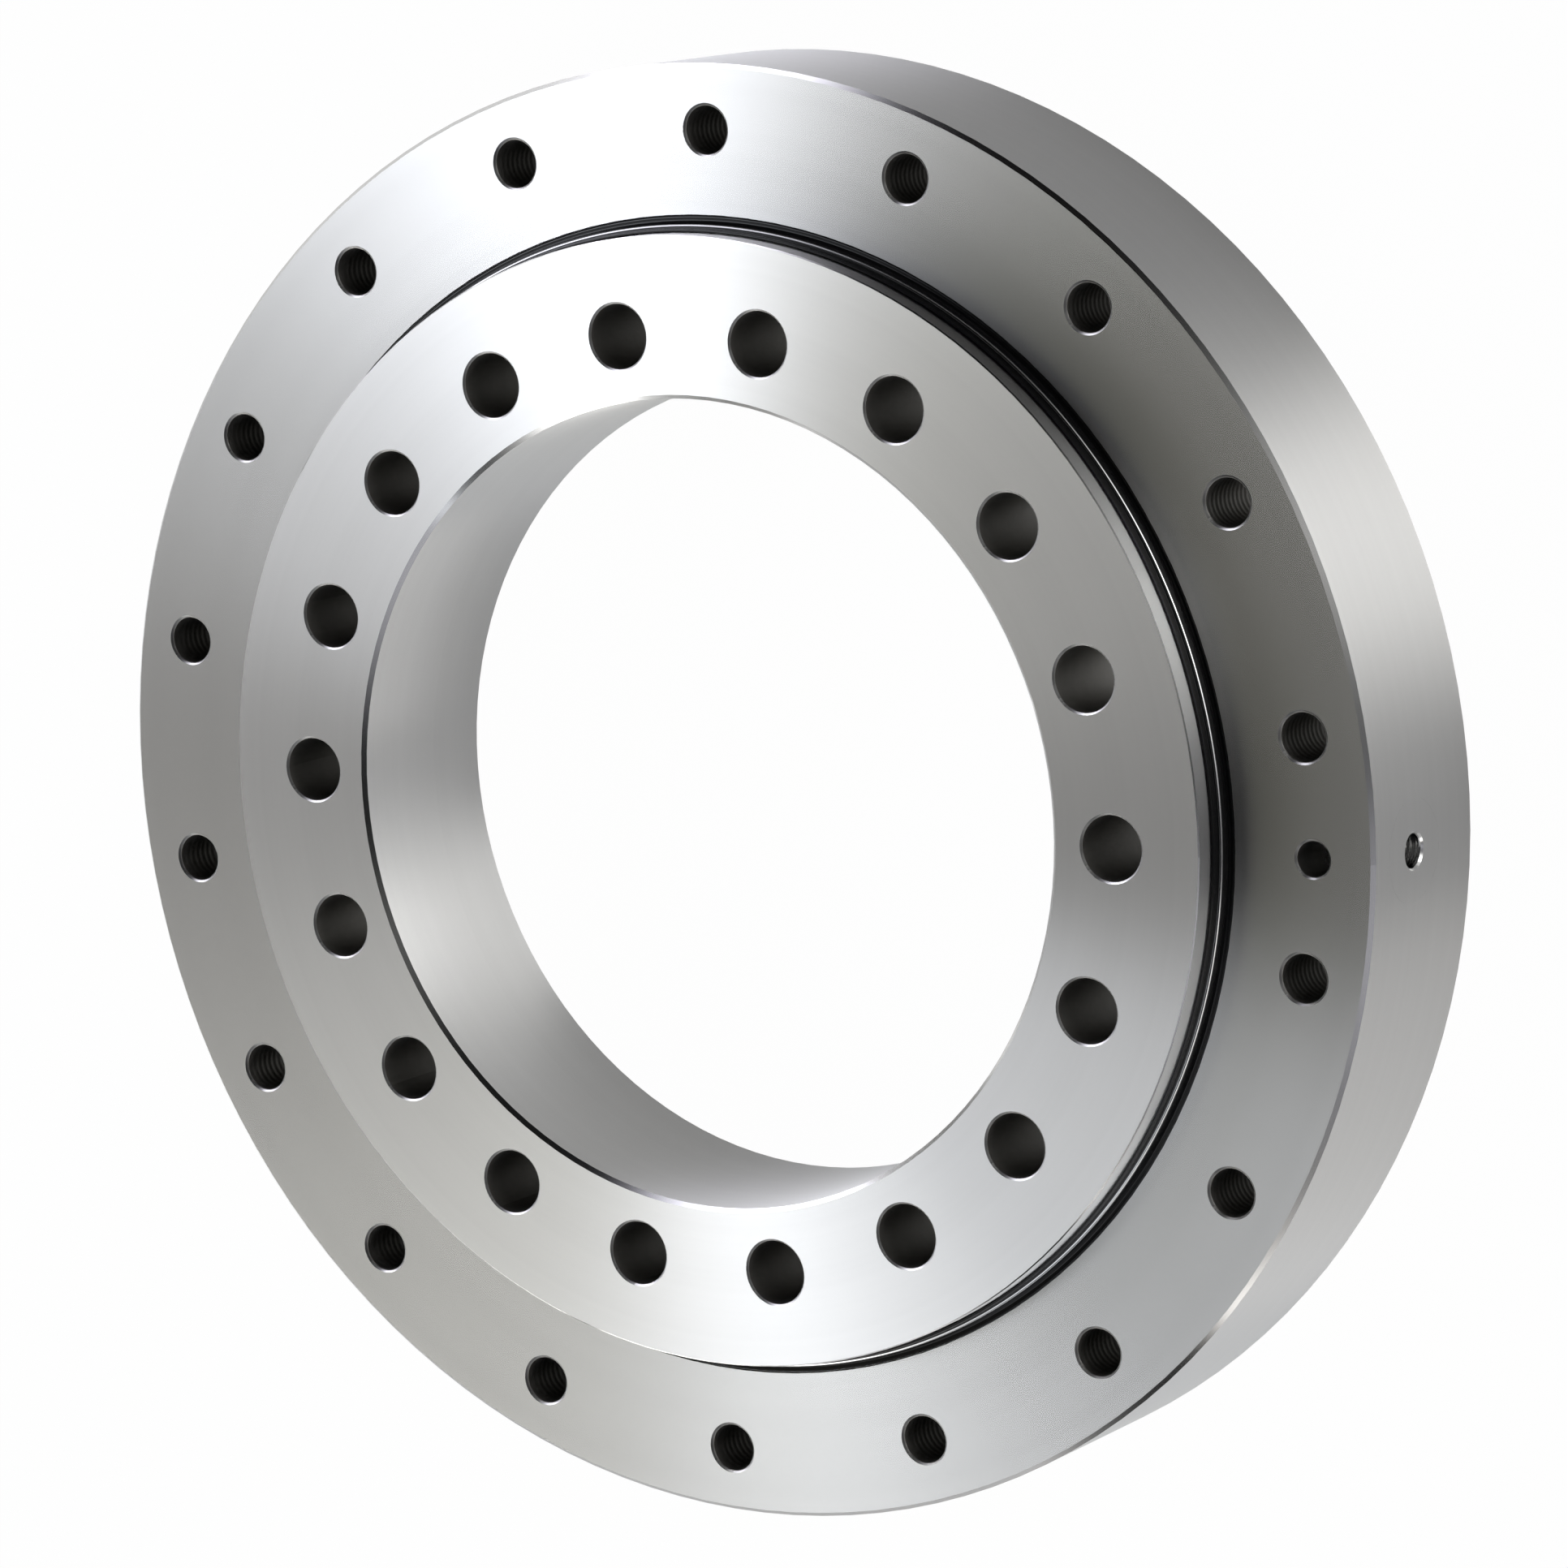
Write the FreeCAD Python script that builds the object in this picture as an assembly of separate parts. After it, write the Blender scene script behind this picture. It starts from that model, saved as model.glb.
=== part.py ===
import FreeCAD, Part
import math
import os

# Slewing ring bearing without teeth: one row of balls with four-point contact between two rings
# that are bolted down by their faces. Millimetres, +Z up along the turning axis. The outer
# ring's back face lies on Z = 0, and the loading plug is on +X.
#
# Both rings have one and the same section, turned half a turn about the ball's centre. It is
# drawn in the ball's own plane: u runs from the ball circle into the ring, and v runs from the
# ball's centre to the ring's sealed face.

# Balls and raceways
BALL_CIRCLE_DIAMETER = 280.0
BALL_DIAMETER = 20.0
CONTACT_ANGLE = 45.0            # of each raceway arc, in degrees
RACEWAY_CONFORMITY = 0.525      # arc radius over ball diameter
RACEWAY_CLEARANCE = 0.3         # between a ball and each of its four contact points
SPLIT_GAP = 1.0                 # between the two rings' lands
RACEWAY_LAND_SHARE = 0.37       # plain land, of the height from the raceway to the face

# Heights: each ring stands proud of the other, on its own side of the bearing
RING_HEIGHT = 50.0
FACE_OFFSET = 10.0

# Radial places of the bolt circles and the rims, counted outwards or inwards from the ball
# circle. They give 360 mm over the rim, a 200 mm bore and bolt circles of 328 and 232 mm.
OUTER_BOLT_OFFSET = 24.0
OUTER_RIM_MARGIN = 16.0
INNER_BOLT_OFFSET = 24.0
INNER_BORE_MARGIN = 16.0

# Bolt holes: the inner ring's are plain, and the outer ring's have the tap drill's size for M14
BOLT_COUNT = 18
PLAIN_HOLE_DIAMETER = 16.0
TAPPED_HOLE_DIAMETER = 12.0
HOLE_MOUTH_CHAMFER = 0.5

# Edge breaks
RIM_CHAMFER = 1.0
LAND_CHAMFER = 0.3
RECESS_CHAMFER = 0.3

# Seals: a root in the ring's recess, a rounded shoulder, and a lip up the other ring's wall
SEAL_RECESS_DEPTH = 2.8         # radially into the land
SEAL_SEAT_CLEARANCE = 0.05
SEAL_LIP_CLEARANCE = 0.3        # to the other ring's wall
SEAL_ROOT_BELOW_FACE = 0.5
SEAL_FLAT_WIDTH = 1.2
SEAL_SHOULDER_HEIGHT = 2.0      # of the shoulder's centre above the ring's face
SEAL_SHOULDER_RADIUS = 0.5
SEAL_LIP_HEIGHT = 4.7           # above the ring's face
SEAL_LIP_THICKNESS = 1.0
SEAL_TIP_RADIUS = 0.3

# Loading plug in the outer ring, with its extraction thread and the taper pin that locks it
PLUG_OVERSIZE = 5.0             # over the ball's diameter
PLUG_FIT = 0.02                 # radially
EXTRACTION_HOLE_DIAMETER = 8.5  # tap drill for M10
EXTRACTION_HOLE_WALL = 1.0      # left between this hole and the pin's
PIN_SMALL_DIAMETER = 8.0
PIN_TAPER = 50.0                # length over gain in diameter
PIN_FIT = 0.02                  # radially
PIN_FLOOR = 8.0                 # from the outer ring's back face up to the pin
PIN_RECESS = 12.0               # from the sealed face down to the pin
PIN_END_ROOM = 1.5
DRILL_POINT_ANGLE = 118.0

# Grease ports in the rim, each closed by a flush set screw with a hexagon socket
GREASE_PORT_ANGLES = (120.0, 240.0)
GREASE_THREAD_DIAMETER = 9.0    # tap drill for M10 x 1
GREASE_THREAD_DEPTH = 12.0
GREASE_DRILL_DIAMETER = 5.0
GREASE_SCREW_LENGTH = 8.0
GREASE_SCREW_FIT = 0.02         # radially
GREASE_SCREW_RECESS = 0.4
GREASE_SOCKET_FLATS = 5.0
GREASE_SOCKET_DEPTH = 4.0
GREASE_SCREW_CHAMFER = 0.6

# Spacers between the balls
SPACER_LEAST_WEB = 4.2          # sets how many balls fit in the row
SPACER_SEAT_CLEARANCE = 0.2     # between a dished end and its ball
SPACER_INSIDE_BALL = 2.0        # the spacer's outside lies this far inside the ball's
SPACER_RIM_WIDTH = 0.6

# What follows from these sizes
ball_circle_radius = BALL_CIRCLE_DIAMETER / 2
ball_radius = BALL_DIAMETER / 2
overall_height = RING_HEIGHT + FACE_OFFSET
ball_height = overall_height / 2
land_u = SPLIT_GAP / 2
recess_u = land_u + SEAL_RECESS_DEPTH
back_v = -ball_height
face_v = back_v + RING_HEIGHT
outer_bolt_radius = ball_circle_radius + OUTER_BOLT_OFFSET
inner_bolt_radius = ball_circle_radius - INNER_BOLT_OFFSET
rim_radius = outer_bolt_radius + OUTER_RIM_MARGIN
bore_radius = inner_bolt_radius - INNER_BORE_MARGIN
outer_face_height = ball_height + face_v

# Each raceway arc's centre is off the ball's centre, away from its contact point
raceway_radius = RACEWAY_CONFORMITY * BALL_DIAMETER
raceway_shift = raceway_radius - ball_radius - RACEWAY_CLEARANCE
shift_u = raceway_shift * math.cos(math.radians(CONTACT_ANGLE))
shift_v = raceway_shift * math.sin(math.radians(CONTACT_ANGLE))
cusp_u = math.sqrt(raceway_radius ** 2 - shift_v ** 2) - shift_u
raceway_edge_v = math.sqrt(raceway_radius ** 2 - (land_u + shift_u) ** 2) - shift_v
recess_floor_v = raceway_edge_v + RACEWAY_LAND_SHARE * (face_v - raceway_edge_v)

plug_radius = ball_radius + PLUG_OVERSIZE / 2
pin_top = outer_face_height - PIN_RECESS
pin_small_radius = PIN_SMALL_DIAMETER / 2
pin_large_radius = pin_small_radius + (pin_top - PIN_FLOOR) / PIN_TAPER / 2

ball_count = int(2 * math.pi * ball_circle_radius / (BALL_DIAMETER + SPACER_LEAST_WEB))
ball_pitch_angle = 360.0 / ball_count

UP = FreeCAD.Vector(0, 0, 1)
OUTWARDS = FreeCAD.Vector(1, 0, 0)
CENTRE = FreeCAD.Vector(0, 0, 0)
OUTER, INNER = 1, -1


def section_point(side, u, v):
    """A point of the outer (side 1) or inner (side -1) ring's section, in the XZ plane."""
    return FreeCAD.Vector(ball_circle_radius + side * u, 0, ball_height + side * v)


def section_line(side, start, end):
    return Part.makeLine(section_point(side, *start), section_point(side, *end))


def section_arc(side, start, middle, end):
    points = [section_point(side, *point) for point in (start, middle, end)]
    return Part.Arc(*points).toShape()


def section_lines(side, points):
    return [section_line(side, a, b) for a, b in zip(points, points[1:])]


def turned(edges):
    """The solid that a closed section gives when it is turned about the bearing's axis."""
    face = Part.Face(Part.Wire(Part.sortEdges(edges)[0]))
    return face.revolve(CENTRE, UP, 360)


def raceway_point(angle, half):
    """A point of the upper (half 1) or lower (half -1) raceway arc, by its angle from u."""
    u = raceway_radius * math.cos(math.radians(angle)) - shift_u
    v = raceway_radius * math.sin(math.radians(angle)) - shift_v
    return (u, half * v)


def ring_blank(side, far_u):
    """One ring before drilling: gothic-arch raceway, two lands, seal recess and edge breaks."""
    outline = [
        (land_u, raceway_edge_v),
        (land_u, recess_floor_v),
        (recess_u, recess_floor_v),
        (recess_u, face_v - RECESS_CHAMFER),
        (recess_u + RECESS_CHAMFER, face_v),
        (far_u - RIM_CHAMFER, face_v),
        (far_u, face_v - RIM_CHAMFER),
        (far_u, back_v + RIM_CHAMFER),
        (far_u - RIM_CHAMFER, back_v),
        (land_u + LAND_CHAMFER, back_v),
        (land_u, back_v + LAND_CHAMFER),
        (land_u, -raceway_edge_v),
    ]
    edges = section_lines(side, outline)
    for half in (1, -1):
        contact = raceway_point(CONTACT_ANGLE, half)
        edges.append(section_arc(side, (land_u, half * raceway_edge_v), contact, (cusp_u, 0)))
    return turned(edges)


def hole_tool(radius, low, high):
    """A cutter for one through hole along Z, with a chamfer at each mouth."""
    mouth = radius + HOLE_MOUTH_CHAMFER
    tool = Part.makeCylinder(radius, high - low, UP * low)
    tool = tool.fuse(Part.makeCone(mouth, radius, HOLE_MOUTH_CHAMFER, UP * low))
    top = UP * (high - HOLE_MOUTH_CHAMFER)
    return tool.fuse(Part.makeCone(radius, mouth, HOLE_MOUTH_CHAMFER, top))


def turned_copy(shape, angle):
    """A copy turned about the bearing's axis by an angle in degrees."""
    copy = shape.copy()
    copy.rotate(CENTRE, UP, angle)
    return copy


def bolt_holes(hole_radius, circle_radius, low, high, first_angle):
    """The cutters for a full circle of bolt holes."""
    tool = hole_tool(hole_radius, low, high)
    tool.translate(OUTWARDS * circle_radius)
    pitch = 360.0 / BOLT_COUNT
    return [turned_copy(tool, first_angle + pitch * i) for i in range(BOLT_COUNT)]


def radial_cylinder(radius, start, end):
    """A cylinder along +X at the balls' height, between two radii of the bearing."""
    return Part.makeCylinder(radius, end - start, FreeCAD.Vector(start, 0, ball_height), OUTWARDS)


def radial_cone(radius, end_radius, start, end):
    place = FreeCAD.Vector(start, 0, ball_height)
    return Part.makeCone(radius, end_radius, end - start, place, OUTWARDS)


def radial_mouth(radius):
    """The chamfer at the mouth of a hole in the rim."""
    depth = HOLE_MOUTH_CHAMFER
    return radial_cone(radius, radius + 2 * depth, rim_radius - depth, rim_radius + depth)


def pin_hole():
    """The taper pin's reamed hole, its open upper end and its mouth in the sealed face."""
    low = PIN_FLOOR
    small = pin_small_radius + PIN_FIT
    large = pin_large_radius + PIN_FIT
    relief = Part.makeCylinder(small, PIN_END_ROOM, UP * (low - PIN_END_ROOM))
    taper = Part.makeCone(small, large, pin_top - low, UP * low)
    upper = Part.makeCylinder(large, outer_face_height - pin_top, UP * pin_top)
    mouth_height = outer_face_height - HOLE_MOUTH_CHAMFER
    mouth = Part.makeCone(large, large + HOLE_MOUTH_CHAMFER, HOLE_MOUTH_CHAMFER, UP * mouth_height)
    hole = relief.fuse([taper, upper, mouth])
    hole.translate(OUTWARDS * outer_bolt_radius)
    return hole


def extraction_hole():
    """The plug's tapped hole, drilled in from the rim to just short of the pin's hole."""
    radius = EXTRACTION_HOLE_DIAMETER / 2
    point = radius / math.tan(math.radians(DRILL_POINT_ANGLE / 2))
    tip = outer_bolt_radius + pin_large_radius + PIN_FIT + EXTRACTION_HOLE_WALL
    drilled = radial_cylinder(radius, tip + point, rim_radius)
    drill_point = radial_cone(0, radius, tip, tip + point)
    return drilled.fuse([drill_point, radial_mouth(radius)])


def grease_port():
    """One grease port on +X: thread, mouth, and the drilling on into the raceway."""
    radius = GREASE_THREAD_DIAMETER / 2
    thread = radial_cylinder(radius, rim_radius - GREASE_THREAD_DEPTH, rim_radius)
    raceway_bottom = ball_circle_radius + cusp_u - RACEWAY_CLEARANCE
    drilling = radial_cylinder(GREASE_DRILL_DIAMETER / 2, raceway_bottom, rim_radius)
    return thread.fuse([drilling, radial_mouth(radius)])


def outer_ring(blank):
    holes = bolt_holes(
        TAPPED_HOLE_DIAMETER / 2, outer_bolt_radius, 0, outer_face_height, 180.0 / BOLT_COUNT
    )
    ports = [turned_copy(grease_port(), angle) for angle in GREASE_PORT_ANGLES]
    plug_hole = radial_cylinder(plug_radius, ball_circle_radius, rim_radius + RIM_CHAMFER)
    return blank.cut(holes + ports + [plug_hole, pin_hole()])


def inner_ring():
    blank = ring_blank(INNER, ball_circle_radius - bore_radius)
    radius = PLAIN_HOLE_DIAMETER / 2
    holes = bolt_holes(radius, inner_bolt_radius, FACE_OFFSET, overall_height, 0.0)
    return blank.cut(holes)


def loading_plug(blank):
    """The plug that closes the ball filling hole. Its ends are turned with the outer ring."""
    core = radial_cylinder(plug_radius - PLUG_FIT, ball_circle_radius, rim_radius + RIM_CHAMFER)
    return blank.common(core).cut([pin_hole(), extraction_hole()])


def taper_pin():
    pin = Part.makeCone(pin_small_radius, pin_large_radius, pin_top - PIN_FLOOR, UP * PIN_FLOOR)
    pin.translate(OUTWARDS * outer_bolt_radius)
    return pin


def seal(side):
    """A seal ring, seated in the recess of the ring on its side, with its lip on the other."""
    wall_u = SEAL_LIP_CLEARANCE - land_u
    seat_u = recess_u - SEAL_SEAT_CLEARANCE
    floor_v = recess_floor_v + SEAL_SEAT_CLEARANCE
    flat_v = face_v - SEAL_ROOT_BELOW_FACE
    shoulder_u = wall_u + SEAL_LIP_THICKNESS
    shoulder_v = face_v + SEAL_SHOULDER_HEIGHT
    shoulder = (shoulder_u + SEAL_SHOULDER_RADIUS, shoulder_v)
    crown = (
        shoulder_u + SEAL_SHOULDER_RADIUS * math.cos(math.radians(45)),
        shoulder_v + SEAL_SHOULDER_RADIUS * math.sin(math.radians(45)),
    )
    crest = (shoulder_u, shoulder_v + SEAL_SHOULDER_RADIUS)
    lip_v = face_v + SEAL_LIP_HEIGHT - SEAL_TIP_RADIUS
    tip_outside = (wall_u + 2 * SEAL_TIP_RADIUS, lip_v)
    tip = (wall_u + SEAL_TIP_RADIUS, lip_v + SEAL_TIP_RADIUS)
    tip_inside = (wall_u, lip_v)
    outline = [tip_inside, (wall_u, floor_v), (seat_u, floor_v), (seat_u, flat_v)]
    outline += [(seat_u - SEAL_FLAT_WIDTH, flat_v), shoulder]
    edges = section_lines(side, outline)
    edges.append(section_arc(side, shoulder, crown, crest))
    edges.append(section_line(side, crest, tip_outside))
    edges.append(section_arc(side, tip_outside, tip, tip_inside))
    return turned(edges)


def grease_screw(angle):
    """A headless set screw with a hexagon socket, sunk just below the rim."""
    radius = GREASE_THREAD_DIAMETER / 2 - GREASE_SCREW_FIT
    outside = rim_radius - GREASE_SCREW_RECESS
    inside = outside - GREASE_SCREW_LENGTH
    chamfer = GREASE_SCREW_CHAMFER
    body = radial_cylinder(radius, inside + chamfer, outside)
    body = body.fuse(radial_cone(radius - chamfer, radius, inside, inside + chamfer))
    body = body.cut(hexagon_socket(outside))
    return turned_copy(body, angle)


def hexagon_socket(outside):
    corner = GREASE_SOCKET_FLATS / 2 / math.cos(math.radians(30))
    start = outside - GREASE_SOCKET_DEPTH
    corners = []
    for i in range(7):
        angle = math.radians(60 * i)
        y = corner * math.cos(angle)
        z = ball_height + corner * math.sin(angle)
        corners.append(FreeCAD.Vector(start, y, z))
    face = Part.Face(Part.makePolygon(corners))
    return face.extrude(OUTWARDS * (outside - start))


def ball(index):
    place = FreeCAD.Vector(ball_circle_radius, 0, ball_height)
    return turned_copy(Part.makeSphere(ball_radius, place), ball_pitch_angle * index)


def spacer():
    """A spacer halfway between the first two balls, with an end dished to seat each of them."""
    half_pitch = math.radians(ball_pitch_angle / 2)
    axis_radius = ball_circle_radius * math.cos(half_pitch)
    half_chord = ball_circle_radius * math.sin(half_pitch)
    radius = ball_radius - SPACER_INSIDE_BALL
    dish_radius = ball_radius + SPACER_SEAT_CLEARANCE
    dish_mouth = radius - SPACER_RIM_WIDTH
    half_length = half_chord - math.sqrt(dish_radius ** 2 - dish_mouth ** 2)
    along = FreeCAD.Vector(0, 1, 0)
    start = FreeCAD.Vector(axis_radius, -half_length, ball_height)
    body = Part.makeCylinder(radius, 2 * half_length, start, along)
    dishes = []
    for end in (1, -1):
        centre = FreeCAD.Vector(axis_radius, end * half_chord, ball_height)
        dishes.append(Part.makeSphere(dish_radius, centre))
    return turned_copy(body.cut(dishes), ball_pitch_angle / 2)


def ball_spacers():
    first = spacer()
    return Part.makeCompound([turned_copy(first, ball_pitch_angle * i) for i in range(ball_count)])


def build():
    """Every piece of the bearing, by its node's name."""
    outer_blank = ring_blank(OUTER, rim_radius - ball_circle_radius)
    pieces = {
        "outer_ring": outer_ring(outer_blank),
        "inner_ring": inner_ring(),
        "upper_seal": seal(OUTER),
        "lower_seal": seal(INNER),
        "loading_plug": loading_plug(outer_blank),
        "taper_pin": taper_pin(),
        "ball_spacers": ball_spacers(),
    }
    for number, angle in enumerate(GREASE_PORT_ANGLES, 1):
        pieces["grease_screw_%d" % number] = grease_screw(angle)
    for number in range(1, ball_count + 1):
        pieces["ball_%02d" % number] = ball(number - 1)
    return pieces


os.makedirs("parts", exist_ok=True)
for name, piece in build().items():
    piece.exportStep("parts/%s.step" % name)
    print(name, len(piece.Solids), "solids", round(piece.Volume), "mm3", piece.isValid())
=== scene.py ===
"""Looks of a slewing ring bearing: bright turned rings, rubber seals, threads, balls and a studio.

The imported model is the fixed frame. Its rings, plug, pin, screws, balls and spacers stay and get
their finishes here. The seals are built anew, with rounded edges and fine moulded ribs, and the
tapped holes get shallow thread ridges. Sizes are in millimetres, and a mesh is put down in metres.
"""

import logging
import math
from dataclasses import dataclass
from enum import Enum
from typing import Optional, Union

import bpy
import numpy as np
from mathutils import Matrix


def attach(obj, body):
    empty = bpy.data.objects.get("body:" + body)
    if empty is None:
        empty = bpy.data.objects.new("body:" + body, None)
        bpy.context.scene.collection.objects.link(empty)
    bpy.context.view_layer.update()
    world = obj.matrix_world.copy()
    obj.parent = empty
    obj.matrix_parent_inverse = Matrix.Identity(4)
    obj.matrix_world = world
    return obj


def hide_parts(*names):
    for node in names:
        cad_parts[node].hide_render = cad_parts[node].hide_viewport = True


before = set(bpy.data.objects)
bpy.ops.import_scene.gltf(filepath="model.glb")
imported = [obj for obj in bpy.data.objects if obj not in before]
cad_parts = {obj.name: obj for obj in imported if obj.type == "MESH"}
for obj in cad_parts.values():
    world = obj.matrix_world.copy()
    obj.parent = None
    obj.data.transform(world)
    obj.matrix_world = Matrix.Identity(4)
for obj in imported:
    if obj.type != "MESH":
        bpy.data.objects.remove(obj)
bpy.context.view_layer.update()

MM = 0.001
Span = tuple[float, float]
log = logging.getLogger("bearing")


# Shader maths


class Signal:
    """A number in a node tree that takes part in Python expressions."""

    def __init__(self, net: "Net", socket: bpy.types.NodeSocket) -> None:
        """Keeps the tree and the output socket."""
        self.net = net
        self.socket = socket

    def maths(self, operation: str, *terms: "Term") -> "Signal":
        """Adds a Math node.

        Args:
            operation: The node's operation.
            terms: Its inputs in order.

        Returns:
            The node's result.
        """
        return self.net.node("ShaderNodeMath", {"operation": operation}, dict(enumerate(terms)))

    def __add__(self, other: "Term") -> "Signal":
        """Sum."""
        return self.maths("ADD", self, other)

    def __radd__(self, other: "Term") -> "Signal":
        """Sum with a number on the left."""
        return self.maths("ADD", other, self)

    def __sub__(self, other: "Term") -> "Signal":
        """Difference."""
        return self.maths("SUBTRACT", self, other)

    def __rsub__(self, other: "Term") -> "Signal":
        """A number less this value."""
        return self.maths("SUBTRACT", other, self)

    def __mul__(self, other: "Term") -> "Signal":
        """Product."""
        return self.maths("MULTIPLY", self, other)

    def __rmul__(self, other: "Term") -> "Signal":
        """Product with a number on the left."""
        return self.maths("MULTIPLY", other, self)

    def __truediv__(self, other: "Term") -> "Signal":
        """Quotient."""
        return self.maths("DIVIDE", self, other)

    def __rtruediv__(self, other: "Term") -> "Signal":
        """A number over this value."""
        return self.maths("DIVIDE", other, self)

    def __pow__(self, other: "Term") -> "Signal":
        """Power."""
        return self.maths("POWER", self, other)

    def __abs__(self) -> "Signal":
        """Size without its sign."""
        return self.maths("ABSOLUTE", self)

    def fall(self, start: float, end: float) -> "Signal":
        """Falls smoothly from 1 at start to 0 at end."""
        return self.net.ramp(self, start, end, 1.0, 0.0)

    def rise(self, start: float, end: float) -> "Signal":
        """Rises smoothly from 0 at start to 1 at end."""
        return self.net.ramp(self, start, end, 0.0, 1.0)


Term = Union[Signal, float]
Colour = tuple[float, float, float]
Shade = Union[Signal, Colour]


class Net:
    """The node tree of one material or world, with one method that makes its nodes."""

    def __init__(self, tree: bpy.types.NodeTree) -> None:
        """Empties the tree."""
        self.tree = tree
        tree.nodes.clear()

    def node(
        self,
        kind: str,
        settings: Optional[dict] = None,
        inputs: Optional[dict] = None,
        output: Union[int, str] = 0,
    ) -> Signal:
        """Makes a node.

        Args:
            kind: The node's type name.
            settings: Its properties, set before its sockets.
            inputs: Values or signals by socket name or number.
            output: The output that is returned.

        Returns:
            The chosen output.
        """
        made = self.tree.nodes.new(kind)
        for name, value in (settings or {}).items():
            setattr(made, name, value)
        for key, value in (inputs or {}).items():
            if isinstance(value, Signal):
                self.tree.links.new(value.socket, made.inputs[key])
            else:
                made.inputs[key].default_value = value
        return Signal(self, made.outputs[output] if made.outputs else None)

    def ramp(self, value: Term, low: float, high: float, first: float, last: float) -> Signal:
        """Maps low..high smoothly to first..last. High may lie below low."""
        if high < low:
            low, high, first, last = high, low, last, first
        return self.node(
            "ShaderNodeMapRange",
            {"interpolation_type": "SMOOTHSTEP", "clamp": True},
            {0: value, 1: low, 2: high, 3: first, 4: last},
        )

    def vector(self, x: Term, y: Term, z: Term) -> Signal:
        """A vector from three numbers."""
        return self.node("ShaderNodeCombineXYZ", None, {0: x, 1: y, 2: z})

    def vectors(self, operation: str, *terms: Shade, **others: Term) -> Signal:
        """Adds a Vector Math node, with its further inputs by name."""
        inputs = {**dict(enumerate(terms)), **others}
        output = "Value" if operation == "DOT_PRODUCT" else "Vector"
        return self.node("ShaderNodeVectorMath", {"operation": operation}, inputs, output)

    def dot(self, vector: Signal, fixed: Colour) -> Signal:
        """The part of a vector along a fixed direction."""
        return self.vectors("DOT_PRODUCT", vector, fixed)

    def noise(self, vector: Signal, scale: float, detail: float = 2.0) -> Signal:
        """Smooth noise from 0 to 1."""
        inputs = {"Vector": vector, "Scale": scale, "Detail": detail, "Roughness": 0.55}
        return self.node("ShaderNodeTexNoise", {"noise_dimensions": "3D"}, inputs)

    def blend(self, share: Term, first: Shade, last: Shade) -> Signal:
        """A colour between two, by a share from 0 to 1."""
        first, last = (c if isinstance(c, Signal) else (*c, 1.0) for c in (first, last))
        settings = {"data_type": "RGBA", "blend_type": "MIX", "clamp_factor": True}
        return self.node("ShaderNodeMix", settings, {0: share, 6: first, 7: last}, 2)

    def bump(self, height: Signal, strength: float, depth: float) -> Signal:
        """A normal that follows a height from 0 to 1, with its depth in metres."""
        inputs = {"Strength": strength, "Distance": depth, "Height": height}
        return self.node("ShaderNodeBump", None, inputs)

    def place(self) -> tuple[Signal, Signal, Signal]:
        """The point's X, Y and Z in millimetres."""
        coords = self.node("ShaderNodeTexCoord", None, None, "Object")
        scaled = self.vectors("SCALE", coords, Scale=1.0 / MM)
        split = self.node("ShaderNodeSeparateXYZ", None, {0: scaled})
        outs = split.socket.node.outputs
        return Signal(self, outs[0]), Signal(self, outs[1]), Signal(self, outs[2])

    def principled(self, colour: Shade, rough: Term, **others: Term) -> Signal:
        """A Principled shader.

        Args:
            colour: Its base colour.
            rough: Its roughness.
            others: Further inputs, by socket name with underscores for spaces.

        Returns:
            The shader.
        """
        inputs = {"Base Color": colour if isinstance(colour, Signal) else (*colour, 1.0)}
        inputs["Roughness"] = rough
        inputs.update({name.replace("_", " "): value for name, value in others.items()})
        return self.node("ShaderNodeBsdfPrincipled", None, inputs)

    def mix(self, share: Term, first: Signal, last: Signal) -> Signal:
        """A shader between two, by a share from 0 to 1."""
        return self.node("ShaderNodeMixShader", None, {0: share, 1: first, 2: last})

    def surface(self, shader: Signal) -> None:
        """Links a shader to the tree's output."""
        self.node("ShaderNodeOutputMaterial", None, {"Surface": shader})


def new_material(name: str) -> tuple[bpy.types.Material, Net]:
    """An empty material and its net."""
    made = bpy.data.materials.new(name)
    made.use_nodes = True
    return made, Net(made.node_tree)


# Finishes


@dataclass(frozen=True)
class HoleCircle:
    """A circle of holes that a finish darkens inside.

    Attributes:
        count: Holes in the circle.
        circle: Radius of the circle.
        radius: Radius of a hole.
        first: Angle of the first hole in degrees.
    """

    count: int
    circle: float
    radius: float
    first: float

    def off(self, radial: Signal, angle: Signal) -> Signal:
        """How far a point lies outside the nearest hole's wall.

        The angle is folded into one pitch about the nearest hole, which gives the distance to
        that hole's axis.

        Args:
            radial: Distance from the bearing's axis.
            angle: Angle about it in radians.

        Returns:
            The distance, below zero inside the hole.
        """
        pitch = math.tau / self.count
        turns = angle / pitch + (0.5 - math.radians(self.first) / pitch + self.count)
        folded = (turns.maths("FRACT", turns) - 0.5) * pitch
        across = radial * folded.maths("SINE", folded)
        along = radial * folded.maths("COSINE", folded) - self.circle
        return (across ** 2.0 + along ** 2.0) ** 0.5 - self.radius


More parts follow.
